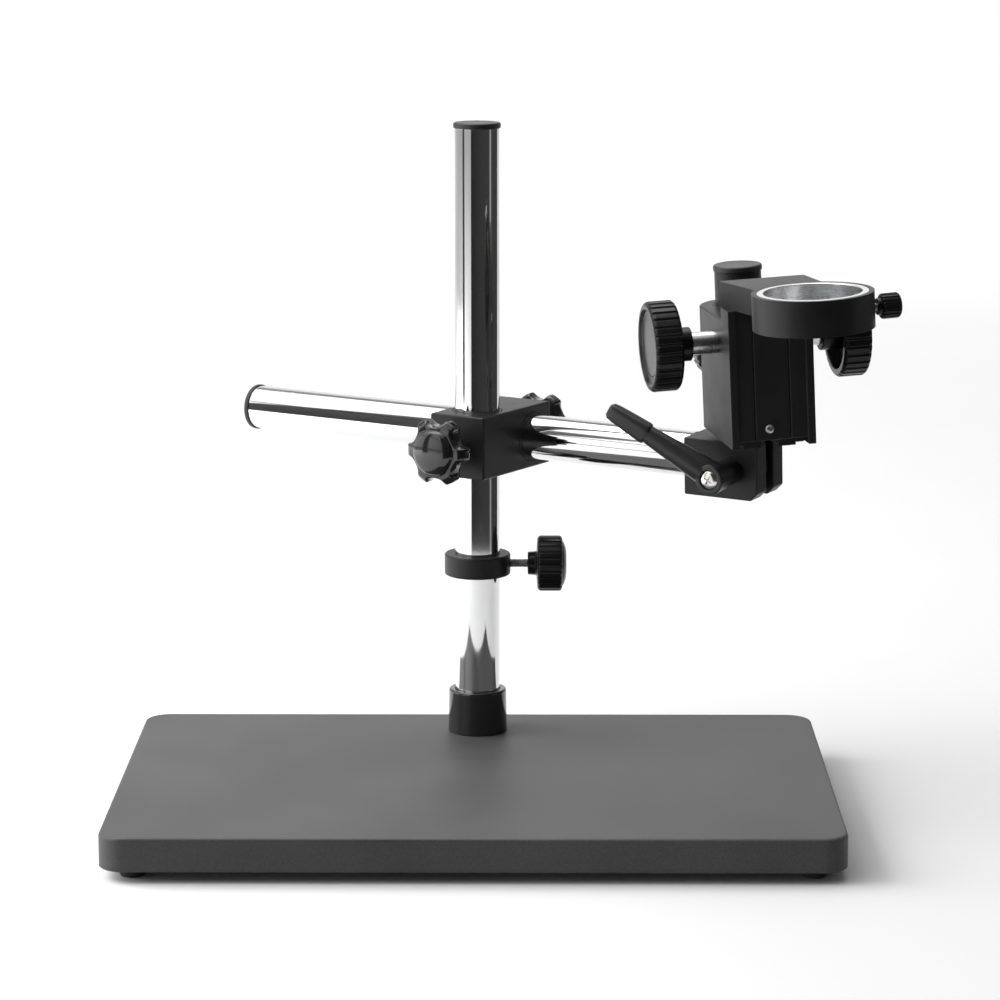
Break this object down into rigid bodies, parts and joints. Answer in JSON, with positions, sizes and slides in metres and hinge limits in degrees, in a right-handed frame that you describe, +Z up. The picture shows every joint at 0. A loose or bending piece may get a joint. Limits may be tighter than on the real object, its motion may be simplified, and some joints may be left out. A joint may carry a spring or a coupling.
{
  "type": "microscope boom stand",
  "caption": "Boom stand for a stereo microscope: flat base, chromed column and cross boom, tilting rack-focus head and clamping ring holder.",
  "frame": {"origin": "on the table, under the middle of the whole stand's box as stored", "axes": "+Z up; +X along the long side of the base, towards the ring holder; +Y towards the base's back edge, where the column stands"},
  "size_m": [0.4069, 0.344, 0.366],
  "materials": {
    "base_enamel": "fine-textured dark grey powder coat",
    "chrome_plate": "bright chrome plating",
    "black_satin": "satin black",
    "black_gloss": "glossy moulded black",
    "black_ribbed": "semi-gloss moulded black",
    "black_cap": "matte black moulding",
    "steel": "turned bright steel",
    "bare_aluminium": "machined",
    "brass_pad": "machined",
    "liner_nylon": "black nylon",
    "foot_rubber": "moulded rubber"
  },
  "bodies": {
    "stand": {"base_plate": "base_enamel", "feet": "foot_rubber", "foot_screws": "steel", "ferrule": "black_gloss", "column_tube": "chrome_plate", "column_plug": "steel", "column_screw": "steel", "column_cap": "black_cap"},
    "collar": {"safety_collar": "black_satin"},
    "collar_screw": {"collar_stud": "steel", "collar_knob": "black_ribbed"},
    "height_liner": {"column_liner": "liner_nylon"},
    "block": {"cross_block": "black_satin", "column_pad": "brass_pad", "boom_pad": "brass_pad"},
    "column_star": {"column_star_stud": "steel", "column_star_knob": "black_gloss"},
    "boom_star": {"boom_star_stud": "steel", "boom_star_knob": "black_gloss"},
    "roll_liner": {"boom_liner": "liner_nylon"},
    "boom": {"boom_tube": "chrome_plate", "boom_cap": "black_cap", "tilt_block": "black_satin", "tilt_nut": "steel"},
    "lever": {"lever_handle": "black_satin", "lever_insert": "steel", "lever_screw": "steel", "lever_spring": "steel"},
    "post": {"head_post": "black_satin", "post_cap": "black_cap"},
    "swivel_liner": {"post_liner": "liner_nylon"},
    "focus_housing": {"focus_body": "black_satin", "shaft_bushes": "steel"},
    "lock_screw": {"lock_stud": "steel", "lock_knob": "black_ribbed"},
    "pinion": {"pinion_shaft": "steel", "left_focus_knob": "black_ribbed", "right_focus_knob": "black_ribbed", "left_knob_grub": "steel", "right_knob_grub": "steel"},
    "carriage": {"slider": "black_satin", "rack": "brass_pad", "rack_screws": "steel", "ring_arm": "black_satin", "ring_sleeve": "bare_aluminium", "arm_screws": "steel"},
    "ring_screw": {"ring_stud": "steel", "ring_knob": "black_ribbed"}
  },
  "joints": [
    {"name": "collar_height", "type": "slide", "parent": "stand", "child": "collar", "axis": [0, 0, 1], "range_m": [-0.062, 0.035]},
    {"name": "collar_screw_turn", "type": "hinge", "parent": "collar", "child": "collar_screw", "pos_m": [-0.0134, 0.043, 0.12], "axis": [1, 0, 0], "range_deg": [-360, 360]},
    {"name": "block_height", "type": "slide", "parent": "stand", "child": "height_liner", "axis": [0, 0, 1], "range_m": [-0.04, 0.15]},
    {"name": "block_swing", "type": "hinge", "parent": "height_liner", "child": "block", "pos_m": [-0.0134, 0.043, 0.1892], "axis": [0, 0, 1], "continuous": true},
    {"name": "column_star_turn", "type": "hinge", "parent": "block", "child": "column_star", "pos_m": [-0.03469, 0.00913, 0.1892], "axis": [-0.5321, -0.8467, 0], "range_deg": [-360, 360]},
    {"name": "boom_star_turn", "type": "hinge", "parent": "block", "child": "boom_star", "pos_m": [0.02172, 0.09888, 0.1892], "axis": [0.5321, 0.8467, 0], "range_deg": [-360, 360]},
    {"name": "boom_roll", "type": "hinge", "parent": "block", "child": "roll_liner", "pos_m": [0.00256, 0.0684, 0.1892], "axis": [0.8467, -0.5321, 0], "range_deg": [-45, 45]},
    {"name": "boom_reach", "type": "slide", "parent": "roll_liner", "child": "boom", "axis": [0.8467, -0.5321, 0], "range_m": [-0.075, 0.15]},
    {"name": "head_tilt", "type": "hinge", "parent": "boom", "child": "post", "pos_m": [0.13134, -0.01234, 0.186], "axis": [0.5314, 0.8455, 0.0523], "range_deg": [-5, 40]},
    {"name": "lever_swing", "type": "hinge", "parent": "boom", "child": "lever", "pos_m": [0.12072, -0.02925, 0.18496], "axis": [-0.5314, -0.8455, -0.0523], "range_deg": [0, 90]},
    {"name": "housing_height", "type": "slide", "parent": "post", "child": "swivel_liner", "axis": [-0.05, -0.0304, 0.9983], "range_m": [0, 0.018]},
    {"name": "housing_swivel", "type": "hinge", "parent": "swivel_liner", "child": "focus_housing", "pos_m": [0.12859, -0.01401, 0.24091], "axis": [-0.05, -0.0304, 0.9983], "range_deg": [-20, 170]},
    {"name": "lock_screw_turn", "type": "hinge", "parent": "focus_housing", "child": "lock_screw", "pos_m": [0.12223, 0.02141, 0.24167], "axis": [-0.1769, 0.984, 0.0211], "range_deg": [-360, 360]},
    {"name": "focus_travel", "type": "slide", "parent": "focus_housing", "child": "carriage", "axis": [-0.05, -0.0304, 0.9983], "range_m": [-0.014, 0.022]},
    {"name": "focus_knob_turn", "type": "hinge", "parent": "focus_housing", "child": "pinion", "pos_m": [0.1334, -0.04679, 0.25989], "axis": [0.983, 0.1756, 0.0546], "range_deg": [-145, 95]},
    {"name": "ring_screw_turn", "type": "hinge", "parent": "carriage", "child": "ring_screw", "pos_m": [0.18789, -0.11013, 0.28518], "axis": [0.9682, 0.2438, 0.0559], "range_deg": [-360, 360]}
  ],
  "couplings": [
    {"joint": "focus_knob_turn", "follows": "focus_travel", "rad_per_m": -111.11}
  ]
}
